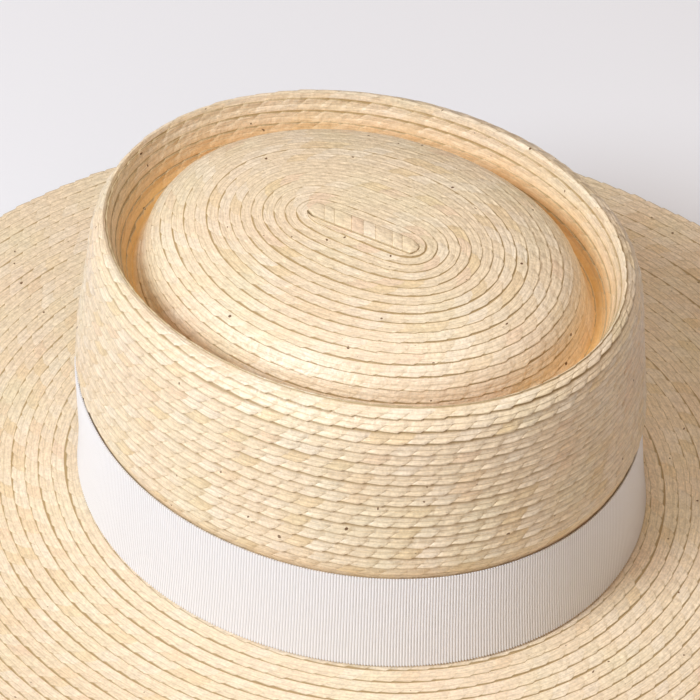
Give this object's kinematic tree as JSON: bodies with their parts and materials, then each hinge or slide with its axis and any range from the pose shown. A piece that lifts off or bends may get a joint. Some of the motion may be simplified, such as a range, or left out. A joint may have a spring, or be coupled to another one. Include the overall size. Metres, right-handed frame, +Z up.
{
  "type": "straw hat",
  "caption": "Plaited straw hat with a grooved telescope crown, a wide flat brim and a plain grosgrain ribbon, worn on the head or rested on its brim.",
  "frame": {"origin": "middle of the brim's underside, on the surface that the hat rests on", "axes": "+X across the head, -Y to the front and +Y to the back, +Z up"},
  "size_m": [0.3602, 0.3774, 0.1182],
  "materials": {
    "straw": "plaited and sewn pale palm straw, satin",
    "ribbon": "off-white ribbed grosgrain, matt"
  },
  "bodies": {
    "root": {"crown": "straw", "brim": "straw", "ribbon": "ribbon"}
  },
  "joints": []
}
